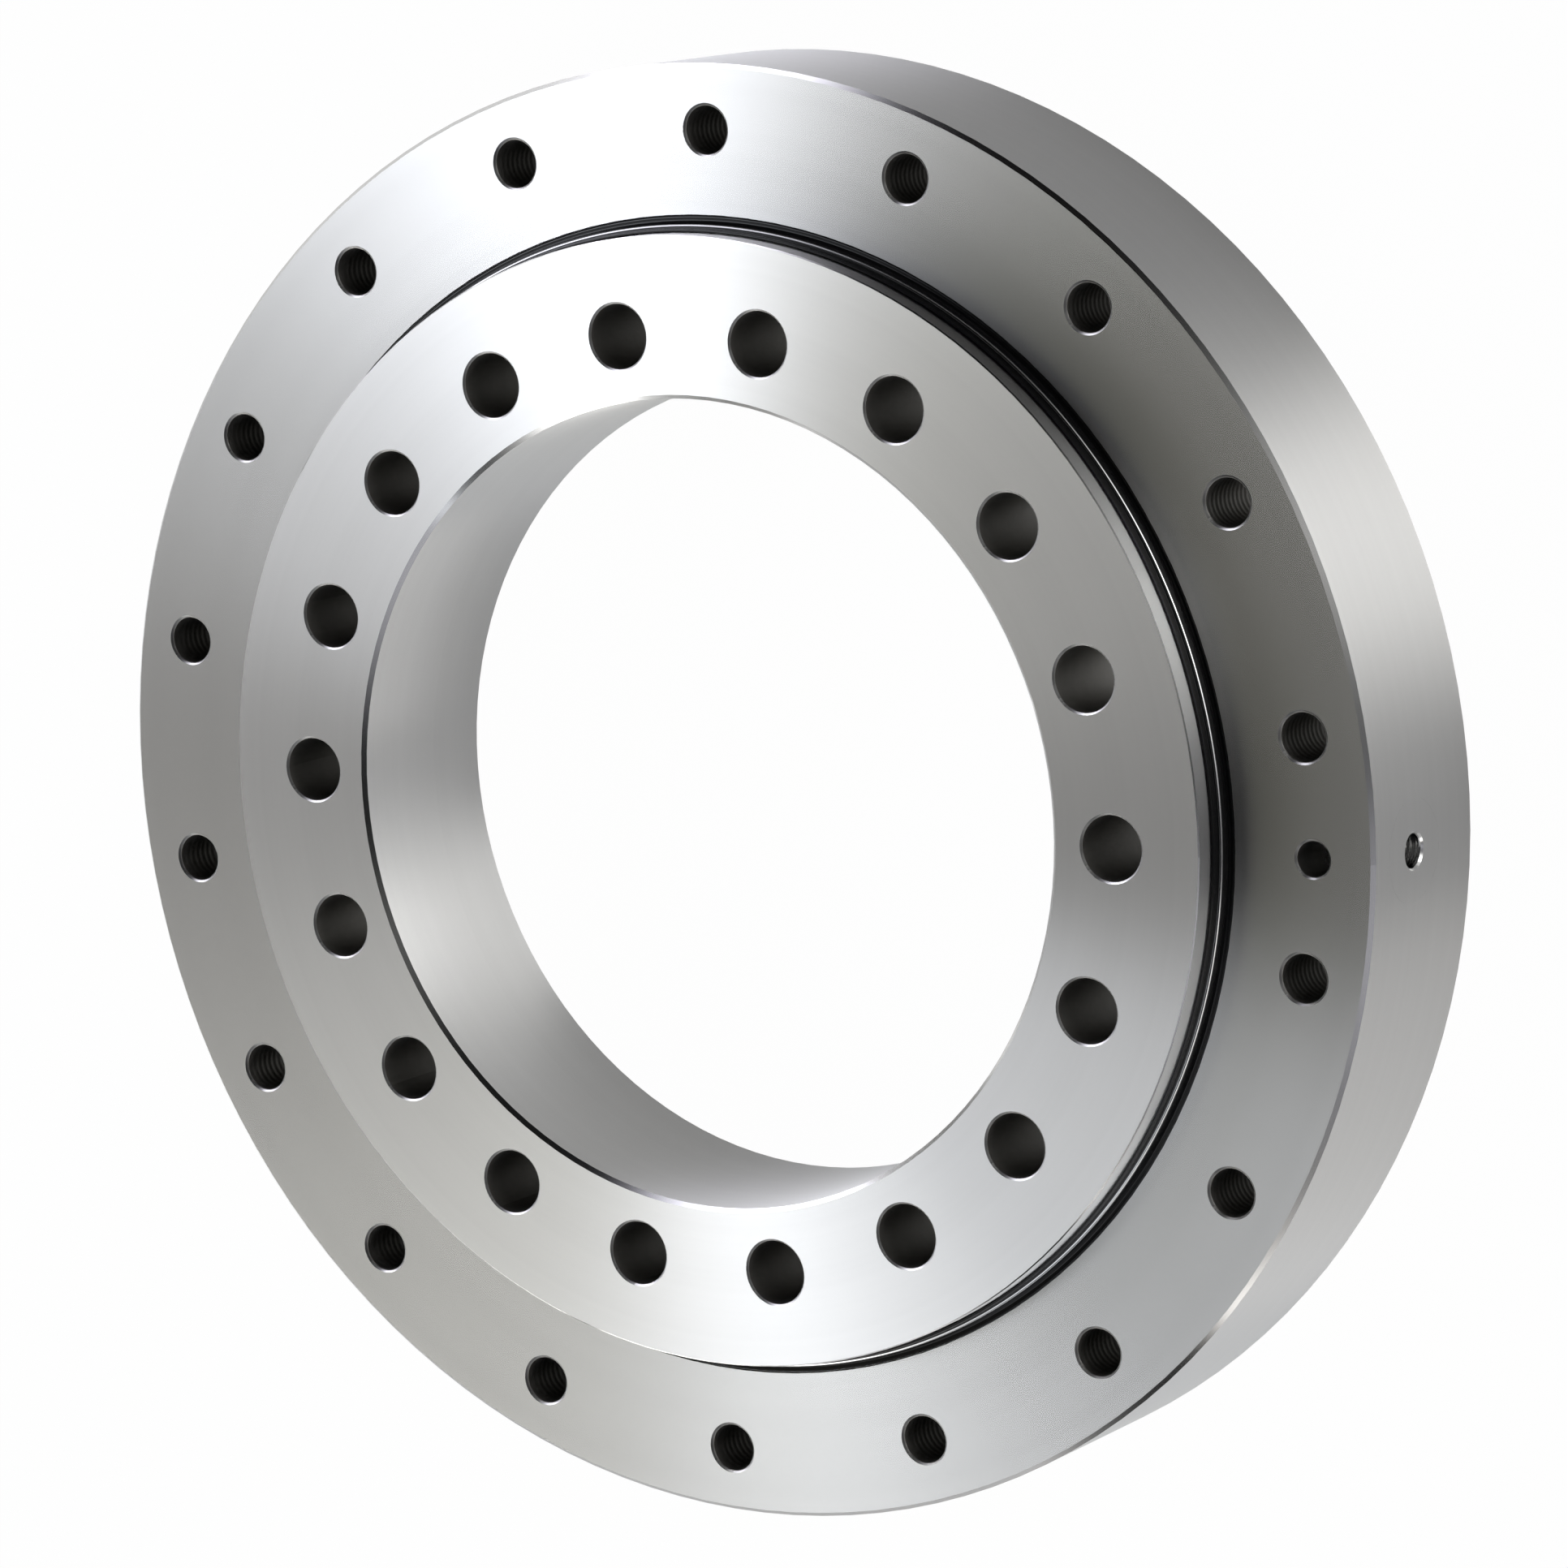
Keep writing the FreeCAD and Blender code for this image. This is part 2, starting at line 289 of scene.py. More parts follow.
@dataclass(frozen=True)
class TurnedSteel:
    """Bright steel with the lathe's fine lay round the bearing's axis.

    Faces and walls have the lay. Bevels and raceways, which slope, are polished and have none.
    The holes' walls are darker than the faces: painted shade, with stains. So is the lip of each
    mouth, but for the side that faces bright_side: this dark on the lip is painted shade.

    Attributes:
        name: The material's name.
        colour: Reflectance of the bright surface.
        face: Roughness of the flat faces, before the anisotropy stretches it.
        wall: Roughness of the upright walls, likewise.
        bevel: Roughness of the sloping surfaces.
        lay: The anisotropy.
        lay_turn: The anisotropy's rotation, in turns about the normal.
        inside: Reflectance inside the holes, darker than the faces as painted shade.
        bright_side: The way that the bright side of a mouth's lip faces.
        grooves: Scale of the lathe's grooves, per millimetre.
        bands: Scale of the slow bands across them.
        smudges: Scale of the smudges.
        stains: Scale of the stains in the holes.
        band_shades: How dark and how light the bands are.
        clean_shades: How dark and how light a clean slope is.
        painted_shade_darkness: How dark the painted shade on a lip is.
        stain_shade: How dark the darkest stain in a hole is.
        groove_bump: Strength of the grooves' bump.
        groove_depth: Their depth in metres.
        hole_rough: Least and greatest roughness in a hole.
        wall_tilt: The normal's Z part where walls end and slopes begin.
        face_tilt: The normal's Z part where slopes end and faces begin.
        uneven: How much the grooves and smudges change the roughness.
        smudged: How much the smudges change a slope's roughness.
        lip_rough: How much rougher a mouth's lip is than the other edges.
        painted_shade_rough: How much rougher still the lip is under its painted shade.
        lip_reach: How far outside a hole's wall its lip ends, softly.
        wall_reach: How far outside it the hole's own finish ends, softly.
        bright_reach: The part of the normal along bright_side where the painted shade ends,
            softly.
        holes: Circles of holes.
    """

    name: str
    colour: Colour = (0.624, 0.62, 0.608)
    face: float = 0.258
    wall: float = 0.403
    bevel: float = 0.12
    lay: float = 1.0
    lay_turn: float = 0.25
    inside: Colour = (0.3, 0.292, 0.275)
    bright_side: Colour = (-0.33, 0.94, 0.0)
    grooves: float = 3.1
    bands: float = 0.35
    smudges: float = 0.02
    stains: float = 0.25
    band_shades: Span = (0.97, 1.03)
    clean_shades: Span = (0.85, 0.95)
    painted_shade_darkness: float = 0.22
    stain_shade: float = 0.7
    groove_bump: float = 0.05
    groove_depth: float = 0.00002
    hole_rough: Span = (0.42, 0.52)
    wall_tilt: Span = (0.3, 0.4)
    face_tilt: Span = (0.9, 0.95)
    uneven: float = 0.02
    smudged: float = 0.04
    lip_rough: float = 0.2
    painted_shade_rough: float = 0.05
    lip_reach: Span = (0.8, 0.9)
    wall_reach: Span = (0.02, 0.08)
    bright_reach: Span = (0.15, 0.45)
    holes: tuple[HoleCircle, ...] = ()

    def material(self) -> bpy.types.Material:
        """Builds the finish.

        Returns:
            The material.
        """
        made, net = new_material(self.name)
        x, y, z = net.place()
        radial = (x ** 2.0 + y ** 2.0) ** 0.5
        # Grooves and bands are constant along the lay: they read only the radius and the height
        grooves = net.noise(net.vector(radial, 0.0, z), self.grooves, 4.0)
        bands = net.noise(net.vector(radial, 7.0, z), self.bands, 2.0)
        smudges = net.noise(net.vector(x, y, z), self.smudges, 3.0)
        normal = net.node("ShaderNodeNewGeometry", None, None, "True Normal")
        tilt = abs(net.dot(normal, (0.0, 0.0, 1.0)))
        slope = tilt.rise(*self.wall_tilt) * tilt.fall(*self.face_tilt)
        rough = self.face + tilt.fall(*self.wall_tilt) * (self.wall - self.face)
        rough = rough + (grooves + smudges - 1.0) * self.uneven
        turned = net.principled(
            net.blend(bands, *map(self.shade, self.band_shades)),
            rough,
            Metallic=1.0,
            Anisotropic=self.lay,
            Anisotropic_Rotation=self.lay_turn,
            Normal=net.bump(grooves, self.groove_bump, self.groove_depth),
        )
        angle = x.maths("ARCTAN2", y, x)
        off = self.holes[0].off(radial, angle)
        for circle in self.holes[1:]:
            off = off.maths("MINIMUM", off, circle.off(radial, angle))
        lip = off.fall(*self.lip_reach)
        # Painted shade: each mouth's lip is darkened, but for the side that faces bright_side
        painted_shade = lip * net.dot(normal, self.bright_side).fall(*self.bright_reach)
        shader = net.mix(slope, turned, self.polished(net, smudges, lip, painted_shade))
        # Painted shade: the holes' walls are darker than the faces, with random stains over it
        stains = net.noise(net.vector(x, y, z), self.stains, 3.0)
        stained = tuple(c * self.stain_shade for c in self.inside)
        dark = net.blend(stains, stained, self.inside)
        least, greatest = self.hole_rough
        hole = net.principled(dark, least + stains * (greatest - least), Metallic=1.0)
        shader = net.mix(off.fall(*self.wall_reach), shader, hole)
        net.surface(shader)
        return made

    def polished(self, net: Net, smudges: Signal, lip: Signal, painted_shade: Signal) -> Signal:
        """The sloping surfaces' shader.

        Args:
            net: The finish's net.
            smudges: A slow noise.
            lip: 1 on the lip of a hole's mouth.
            painted_shade: 1 on a lip's painted shade.

        Returns:
            The shader.
        """
        clean = net.blend(smudges, *map(self.shade, self.clean_shades))
        rough = smudges * self.smudged + self.bevel
        rough = rough + lip * self.lip_rough + painted_shade * self.painted_shade_rough
        # Painted shade darkens the lip away from bright_side
        colour = net.blend(painted_shade, clean, self.shade(self.painted_shade_darkness))
        return net.principled(colour, rough, Metallic=1.0)

    def shade(self, factor: float) -> Colour:
        """The colour made lighter or darker."""
        return tuple(c * factor for c in self.colour)


@dataclass(frozen=True)
class SealRubber:
    """Glossy black moulded rubber with fine rings along the lip, and a painted highlight on its
    crest.

    The crest's bright metallic band is a painted highlight, in place of the line of light there.

    Attributes:
        name: The material's name.
        colour: The rubber's colour.
        dusty: Its colour under dust.
        crest: Reflectance of the painted highlight on the crest.
        gloss: Roughness of the clean rubber.
        ringed: How much rougher the fine rings make it.
        dusted: How much rougher dust makes it.
        crest_rough: How much rougher the crest is.
        ring_scale: Scale of the fine rings, per millimetre.
        ring_bump: Strength of their bump.
        ring_depth: Their depth in metres.
        dust_scale: Scale of the dust.
        refraction: The rubber's index of refraction.
        dust_cover: The most that dust covers of the colour.
        dust_range: The dust noise where dust begins, and where it is thickest.
        crest_height: How far above the balls' plane the painted highlight begins.
        crest_side: How far outside the ball circle the painted highlight begins.
        crest_edge: Half the width of its soft edge.
        ball_circle: Radius of the ball circle.
        ball_height: Height of the balls' plane.
    """

    name: str = "seal_rubber"
    colour: Colour = (0.004, 0.004, 0.0043)
    dusty: Colour = (0.03, 0.03, 0.03)
    crest: Colour = (0.42, 0.42, 0.42)
    gloss: float = 0.1
    ringed: float = 0.04
    dusted: float = 0.08
    crest_rough: float = 0.05
    ring_scale: float = 4.0
    ring_bump: float = 0.15
    ring_depth: float = 0.0001
    dust_scale: float = 0.6
    refraction: float = 1.42
    dust_cover: float = 0.2
    dust_range: Span = (0.55, 0.75)
    crest_height: float = 22.0
    crest_side: float = 0.88
    crest_edge: float = 0.05
    ball_circle: float = 140.0
    ball_height: float = 30.0

    def material(self) -> bpy.types.Material:
        """Builds the finish and returns its material."""
        made, net = new_material(self.name)
        x, y, z = net.place()
        radial = (x ** 2.0 + y ** 2.0) ** 0.5
        rings = net.noise(net.vector(radial, 0.0, z), self.ring_scale, 3.0)
        dust = net.noise(net.vector(x, y, z), self.dust_scale, 4.0).rise(*self.dust_range)
        # Painted highlight: a bright metallic band along the seal's crest
        above = self.beyond(abs(z - self.ball_height), self.crest_height)
        crest = above * self.beyond(abs(radial - self.ball_circle), self.crest_side)
        dusty = net.blend(dust * self.dust_cover, self.colour, self.dusty)
        shader = net.principled(
            net.blend(crest, dusty, self.crest),
            self.gloss + rings * self.ringed + dust * self.dusted + crest * self.crest_rough,
            Metallic=crest,
            IOR=self.refraction,
            Normal=net.bump(rings, self.ring_bump, self.ring_depth),
        )
        net.surface(shader)
        return made

    def beyond(self, distance: Signal, start: float) -> Signal:
        """1 where a distance is past the start of the painted highlight, with its soft edge."""
        return distance.rise(start - self.crest_edge, start + self.crest_edge)


@dataclass(frozen=True)
class PlainFinish:
    """A finish without a lay, with a fine grain in its roughness and bump and slow clouds.

    Attributes:
        name: The material's name.
        colour: Its middling colour.
        metallic: 1 for metal.
        rough: Its middling roughness.
        grain: Scale of the grain, per millimetre.
        bump: Strength of the grain's bump.
        bump_depth: Its depth in metres.
        cloud: Scale of the clouds over that of the grain.
        shades: How dark and how light the clouds are.
        uneven: How much the grain changes the roughness.
    """

    name: str
    colour: Colour
    metallic: float
    rough: float
    grain: float
    bump: float
    bump_depth: float = 0.00005
    cloud: float = 0.12
    shades: Span = (0.9, 1.08)
    uneven: float = 0.08

    def material(self) -> bpy.types.Material:
        """Builds the finish and returns its material."""
        made, net = new_material(self.name)
        place = net.vector(*net.place())
        grain = net.noise(place, self.grain, 4.0)
        cloud = net.noise(place, self.grain * self.cloud, 2.0)
        deep, light = (tuple(c * shade for c in self.colour) for shade in self.shades)
        shader = net.principled(
            net.blend(cloud, deep, light),
            self.rough + (grain - 0.5) * self.uneven,
            Metallic=self.metallic,
            Normal=net.bump(grain, self.bump, self.bump_depth),
        )
        net.surface(shader)
        return made


class SmallPart(Enum):
    """The small pieces' finishes."""

    PIN = PlainFinish("pin_steel", (0.45, 0.45, 0.45), 1.0, 0.28, 1.2, 0.05)
    SCREW = PlainFinish("screw_black_oxide", (0.035, 0.035, 0.038), 0.7, 0.38, 2.5, 0.1)
    BALL = PlainFinish("ball_steel", (0.74, 0.74, 0.75), 1.0, 0.06, 0.5, 0.0)
    SPACER = PlainFinish("spacer_nylon", (0.78, 0.74, 0.62), 0.0, 0.42, 0.8, 0.15)
    # The threads' steel is darker than the rings' as painted shade in the holes; bright_thread is
    # glossier
    THREAD = PlainFinish("cut_thread", (0.26, 0.253, 0.238), 1.0, 0.48, 2.0, 0.1)
    BRIGHT_THREAD = PlainFinish("bright_thread", (0.3, 0.3, 0.295), 1.0, 0.15, 2.0, 0.1)

    def material(self) -> bpy.types.Material:
        """Builds the part's finish and returns its material."""
        return self.value.material()


# Surfaces


def grid_mesh(name: str, points: np.ndarray) -> bpy.types.Object:
    """A closed surface from a grid that joins up both ways.

    The faces are the quads between neighbours (i, j), (i, j+1), (i+1, j+1), (i+1, j), with both
    indices wrapping round. The signed volume, a sum of triple products, turns them outwards.

    Args:
        name: The object's name.
        points: Rows by columns by three, in millimetres.

    Returns:
        The object, linked to the scene.
    """
    rows, columns = points.shape[:2]
    i, j = np.meshgrid(np.arange(rows), np.arange(columns), indexing="ij")
    up, right = (i + 1) % rows, (j + 1) % columns
    quads = np.stack(
        [i * columns + j, i * columns + right, up * columns + right, up * columns + j], -1
    ).reshape(-1, 4)
    flat = points.reshape(-1, 3) * MM
    a, b, c, d = (flat[quads[:, k]] for k in range(4))
    volume = np.einsum("ij,ij->", np.cross(a, b), c) + np.einsum("ij,ij->", np.cross(a, c), d)
    if volume < 0:
        quads = quads[:, ::-1]
    mesh = bpy.data.meshes.new(name)
    mesh.vertices.add(len(flat))
    mesh.vertices.foreach_set("co", flat.astype(np.float32).ravel())
    mesh.loops.add(quads.size)
    mesh.loops.foreach_set("vertex_index", quads.astype(np.int32).ravel())
    mesh.polygons.add(len(quads))
    mesh.polygons.foreach_set("loop_start", np.arange(0, quads.size, 4, dtype=np.int32))
    mesh.polygons.foreach_set("use_smooth", np.full(len(quads), True))
    mesh.update(calc_edges=True)
    mesh.validate()
    made = bpy.data.objects.new(name, mesh)
    bpy.context.scene.collection.objects.link(made)
    return made


def rounded(corners: np.ndarray, radii: np.ndarray, steps: int = 5) -> np.ndarray:
    """A closed outline with an arc in place of each corner.

    The arc touches both sides at the distance radius / tan(half the corner's angle) from the
    corner. Its centre lies on the corner's bisector, at radius / sin(half angle), and its points
    are spread evenly between the two touching points as seen from there.

    Args:
        corners: The outline's corners, n by 2.
        radii: A radius for each of them.
        steps: Points of each arc.

    Returns:
        The points, n times steps by 2.
    """
    back = np.roll(corners, 1, 0) - corners
    ahead = np.roll(corners, -1, 0) - corners
    back = back / np.linalg.norm(back, axis=1, keepdims=True)
    ahead = ahead / np.linalg.norm(ahead, axis=1, keepdims=True)
    half = np.arccos(np.clip((back * ahead).sum(1), -1, 1)) / 2
    bisector = back + ahead
    bisector = bisector / np.linalg.norm(bisector, axis=1, keepdims=True)
    centre = corners + bisector * (radii / np.sin(half))[:, None]
    touch = radii / np.tan(half)
    first = corners + back * touch[:, None] - centre
    last = corners + ahead * touch[:, None] - centre
    sweep = np.pi - 2 * half
    share = np.linspace(0, 1, steps)[None, :, None]
    angle = sweep[:, None, None]
    arc = np.sin((1 - share) * angle) * first[:, None] + np.sin(share * angle) * last[:, None]
    arc = arc / np.sin(angle)
    return (centre[:, None] + arc).reshape(-1, 2)


def densified(outline: np.ndarray, longest: Union[float, np.ndarray]) -> np.ndarray:
    """A closed outline with points added evenly on its long runs.

    Args:
        outline: The points, n by 2.
        longest: The longest run that is left, for all of them or after each point.

    Returns:
        The points with the new ones between them.
    """
    after = np.roll(outline, -1, 0)
    length = np.linalg.norm(after - outline, axis=1)
    pieces = np.maximum(1, np.ceil(length / longest).astype(int))
    start = np.repeat(np.arange(len(outline)), pieces)
    first = np.repeat(np.cumsum(pieces) - pieces, pieces)
    share = ((np.arange(pieces.sum()) - first) / np.repeat(pieces, pieces))[:, None]
    return outline[start] * (1 - share) + after[start] * share


def turned_points(outline: np.ndarray, steps: int) -> np.ndarray:
    """An outline carried once round Z: (r cos t, r sin t, z) for each (r, z) and turn t."""
    turn = np.linspace(0, math.tau, steps, endpoint=False)
    r, z = outline[:, 0][:, None], outline[:, 1][:, None]
    return np.stack([r * np.cos(turn), r * np.sin(turn), z + 0 * turn], -1)


# Sub-assemblies


@dataclass
class Rings:
    """The two bolted rings with the loading plug and its pin, which keep their CAD shapes."""

    outer_bolts: HoleCircle = HoleCircle(18, 164.0, 6.0, 10.0)
    inner_bolts: HoleCircle = HoleCircle(18, 116.0, 8.0, 0.0)
    pin_hole: HoleCircle = HoleCircle(1, 164.0, 4.35, 0.0)

    def dress(self) -> None:
        """Gives the rings, plug and pin their finishes."""
        finishes = {
            "outer_ring": TurnedSteel("outer_ring_steel", holes=(self.outer_bolts, self.pin_hole)),
            "inner_ring": TurnedSteel(
                "inner_ring_steel",
                colour=(0.703, 0.70, 0.688),
                face=0.294,
                wall=0.346,
                holes=(self.inner_bolts,),
            ),
            "loading_plug": TurnedSteel("loading_plug_steel", holes=(self.pin_hole,)),
        }
        for node, finish in finishes.items():
            dress_node(node, finish.material())
        dress_node("taper_pin", SmallPart.PIN.material())


class Side(Enum):
    """The ring that carries a seal: its name, and the sign of its section."""

    OUTER = ("upper_seal", "outer_assembly", 1)
    INNER = ("lower_seal", "inner_assembly", -1)


@dataclass
class Seal:
    """A lipped rubber seal, drawn in the ball's own plane as (u, v) from the ball's centre.

    Attributes:
        side: The ring that carries it.
        ball_circle: Radius of the ball circle.
        ball_height: Height of the balls' plane.
        wall: Where the section's plain side lies.
        seat: Where its seated side lies.
        floor: Where its root begins.
        flat: Where its flat lies.
        flat_width: How wide the flat is.
        crest: Where the slope from the flat ends.
        lip_foot: Where the lip rises.
        lip_side: Where the lip's tip lies sideways.
        lip_top: Where it ends.
        bends: The radii of the outline's corners, from the root round.
        rib_height: Of the fine ribs on the lip.
        rib_pitch: Of the ribs.
        rib_margins: How far above the lip's foot and below its top the ribs keep.
        rib_side: How far out the ribbed side of the lip begins.
        spacing: The longest runs on the lip, on the rest in sight, and on the hidden root.
        under_flat: How far below the flat the part in sight is taken to reach.
        steps: Columns round the axis.
    """

    side: Side
    ball_circle: float = 140.0
    ball_height: float = 30.0
    wall: float = -0.2
    seat: float = 3.25
    floor: float = 13.97
    flat: float = 19.5
    flat_width: float = 1.2
    crest: Span = (1.25, 22.5)
    lip_foot: Span = (0.5, 22.6)
    lip_side: float = 0.42
    lip_top: float = 24.7
    bends: tuple[float, ...] = (0.25, 0.3, 0.25, 0.15, 0.85, 0.1, 0.22, 0.25)
    rib_height: float = 0.035
    rib_pitch: float = 0.45
    rib_margins: Span = (0.02, 0.3)
    rib_side: float = 0.3
    spacing: tuple[float, float, float] = (0.08, 0.15, 1.0)
    under_flat: float = 0.1
    steps: int = 540

    def outline(self) -> np.ndarray:
        """The section: root, flat, rounded shoulder and tapering lip, with fine ribs.

        The ribs are grooves cut between them: a sine of v, cut off above zero, moves the lip's
        outer side inwards.

        Returns:
            The closed outline in (u, v).
        """
        corners = np.array(
            [
                (self.wall, self.floor),
                (self.seat, self.floor),
                (self.seat, self.flat),
                (self.seat - self.flat_width, self.flat),
                self.crest,
                self.lip_foot,
                (self.lip_side, self.lip_top),
                (self.wall, self.lip_top),
            ]
        )
        lip, seen, hidden = self.spacing
        outline = densified(rounded(corners, np.array(self.bends)), hidden)
        height = (outline[:, 1] + np.roll(outline[:, 1], -1)) / 2
        zones = [height > self.crest[1], height > self.flat - self.under_flat]
        outline = densified(outline, np.select(zones, [lip, seen], hidden))
        along = np.roll(outline, -1, 0) - np.roll(outline, 1, 0)
        along = along / np.linalg.norm(along, axis=1, keepdims=True)
        out = np.stack([along[:, 1], -along[:, 0]], -1)
        u, v = outline.T
        above, below = self.rib_margins
        on_lip = (v > self.lip_foot[1] + above) & (v < self.lip_top - below) & (u > self.rib_side)
        wave = np.sin(v / self.rib_pitch * math.tau) * self.rib_height
        return outline + out * np.where(on_lip, np.minimum(wave, 0.0), 0.0)[:, None]

    def build(self, finish: bpy.types.Material) -> bpy.types.Object:
        """Turns the section about the axis and sets it in place of its CAD node.

        Args:
            finish: The rubber.

        Returns:
            The seal.
        """
        node, body, sign = self.side.value
        section = self.outline() * sign + (self.ball_circle, self.ball_height)
        made = grid_mesh(node + "_moulded", turned_points(section, self.steps))
        return settle(made, body, finish, node)


@dataclass
class Thread:
    """The thread in a drilled hole: a sleeve on its wall, whose inside is a helical ridge.

    The ridge stands in for a thread that is cut into the wall, and is much shallower.

    Attributes:
        radius: Of the drilled hole.
        depth: Of the thread.
        pitch: Of the thread.
        start: Where the thread begins along the hole's axis.
        end: Where it ends.
        columns: Points round the axis.
        rows_per_pitch: Rows in one pitch.
        flank: How steep the trapezium wave's flanks are.
        land: How much of each flank its lands cut off.
        root_gap: How far the ridge's root stays off the hole's wall.
        back_gap: How far the sleeve's outside stays off it.
    """

    radius: float
    depth: float
    pitch: float
    start: float
    end: float
    columns: int = 28
    rows_per_pitch: int = 6
    flank: float = 1.5
    land: float = 0.25
    root_gap: float = 0.02
    back_gap: float = 0.012

    def points(self) -> np.ndarray:
        """The sleeve about the Z axis.

        Inside, the radius at height z and turn t is the crest's plus the depth times a
        trapezium wave of z / pitch - t / (2 pi). Outside, it is plain, just off the hole's wall.

        Returns:
            Rows by columns by three.
        """
        rows = int((self.end - self.start) / self.pitch * self.rows_per_pitch)
        turn = np.linspace(0, math.tau, self.columns, endpoint=False)[None]
        height = np.linspace(self.start, self.end, rows)[:, None]
        phase = (height / self.pitch - turn / math.tau) % 1.0
        groove = np.clip(np.abs(2 * phase - 1) * self.flank - self.land, 0, 1)
        inside = self.radius - self.root_gap - self.depth * (1 - groove)
        outside = np.full((2, self.columns), self.radius - self.back_gap)
        r = np.concatenate([inside, outside])
        z = np.concatenate([height, [[self.end], [self.start]]]) + 0 * turn
        return np.stack([r * np.cos(turn), r * np.sin(turn), z], -1)


@dataclass
class Threads:
    """The threads in the outer ring's bolt holes and in the plug's extraction hole.

    Attributes:
        bolts: The circle of bolt holes.
        bolt_depth: Depth of their thread.
        bolt_pitch: Pitch of their thread.
        plug_radius: Radius of the extraction hole.
        plug_depth: Depth of its thread.
        plug_pitch: Pitch of its thread.
        plug_start: How far from the bearing's axis its thread begins.
        mouth: Chamfer at a hole's mouth.
        ring_height: Height of the outer ring.
        ball_height: Height of the balls' plane.
        rim: Radius of the outer ring's rim.
    """

    bolts: HoleCircle = HoleCircle(18, 164.0, 6.0, 10.0)
    bolt_depth: float = 0.07
    bolt_pitch: float = 2.0
    plug_radius: float = 4.25
    plug_depth: float = 0.22
    plug_pitch: float = 1.5
    plug_start: float = 172.6
    mouth: float = 0.5
    ring_height: float = 50.0
    ball_height: float = 30.0
    rim: float = 180.0

    def build(self) -> list[bpy.types.Object]:
        """Builds the threads.

        Returns:
            One piece for each hole.
        """
        dark = SmallPart.THREAD.material()
        top = self.ring_height - self.mouth
        thread = Thread(self.bolts.radius, self.bolt_depth, self.bolt_pitch, self.mouth, top)
        sleeve = thread.points()
        made = []
        for number in range(self.bolts.count):
            angle = math.radians(self.bolts.first + 360.0 / self.bolts.count * number)
            at = np.array([math.cos(angle), math.sin(angle), 0.0]) * self.bolts.circle
            piece = grid_mesh(f"bolt_thread_{number + 1:02d}", sleeve + at)
            made.append(settle(piece, "outer_assembly", dark))
        end = self.rim - self.mouth
        thread = Thread(self.plug_radius, self.plug_depth, self.plug_pitch, self.plug_start, end)
        plug = thread.points()
        # The plug's thread runs along X: (x, y, z) becomes (z, x, y) about the balls' height
        plug = np.stack([plug[..., 2], plug[..., 0], plug[..., 1] + self.ball_height], -1)
        piece = grid_mesh("extraction_thread", plug)
        bright = SmallPart.BRIGHT_THREAD.material()
        made.append(settle(piece, "outer_assembly", bright))
        return made


@dataclass
class BallRow:
    """The balls, their spacers and the grease screws, which keep their CAD shapes."""

    balls: list[str]

    def dress(self) -> None:
        """Gives the balls, spacers and screws their finishes."""
        polished = SmallPart.BALL.material()
        for node in self.balls:
            dress_node(node, polished)
        dress_node("ball_spacers", SmallPart.SPACER.material())
        screw = SmallPart.SCREW.material()
        for node in ("grease_screw_1", "grease_screw_2"):
            dress_node(node, screw)


def dress_node(node: str, finish: bpy.types.Material) -> None:
    """Puts a finish on a CAD node."""
    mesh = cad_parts[node].data
    mesh.materials.clear()
    mesh.materials.append(finish)
    log.info("dressed %s with %s", node, finish.name)


def settle(
    piece: bpy.types.Object,
    body: str,
    finish: bpy.types.Material,
    node: Optional[str] = None,
) -> bpy.types.Object:
    """Finishes a new piece and lets it ride on its body.

    Args:
        piece: The new piece.
        body: The CAD body that it moves with.
        finish: Its material.
        node: The CAD node that it stands for, if any.

    Returns:
        The piece.
    """
    piece.data.materials.append(finish)
    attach(piece, body)
    if node:
        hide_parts(node)
    log.info("built %s, %d faces, on %s", piece.name, len(piece.data.polygons), body)
    return piece


# Studio


@dataclass(frozen=True)
class SoftBox:
    """A soft box far off, as the world shows it.

    Attributes:
        azimuth: Of its centre, in degrees from +X.
        elevation: Of its centre, in degrees.
        width: Half its width over its distance.
        height: Half its height over its distance.
        edge: Width of its soft edge, likewise.
        level: Its brightness.
        tint: Its colour.
        side_on: The least part of a direction along its centre line that still meets it.
    """

    azimuth: float
    elevation: float
    width: float
    height: float
    edge: float
    level: float
    tint: Colour = (1.0, 1.0, 1.0)
    side_on: float = 0.05

    def glow(self, net: Net, direction: Signal) -> Signal:
        """Its brightness in a direction, from the direction's slopes off its centre line."""
        a, e = math.radians(self.azimuth), math.radians(self.elevation)
        centre = (math.cos(e) * math.cos(a), math.cos(e) * math.sin(a), math.sin(e))
        side = (-math.sin(a), math.cos(a), 0.0)
        over = tuple(np.cross(centre, side))
        ahead = net.dot(direction, centre)
        safe = ahead.maths("MAXIMUM", ahead, self.side_on)
        across = self.soft(net.dot(direction, side) / safe, self.width)
        along = self.soft(net.dot(direction, over) / safe, self.height)
        seen = ahead.maths("GREATER_THAN", ahead, self.side_on)
        return seen * self.level / (across * along)

    def soft(self, slope: Signal, half: float) -> Signal:
        """1 well inside a half width, rising fast outside it: 1 + exp((|slope| - half) / edge)."""
        over = abs(slope)
        over = over.maths("MULTIPLY_ADD", over, 1.0 / self.edge, -half / self.edge)
        return over.maths("EXPONENT", over) + 1.0


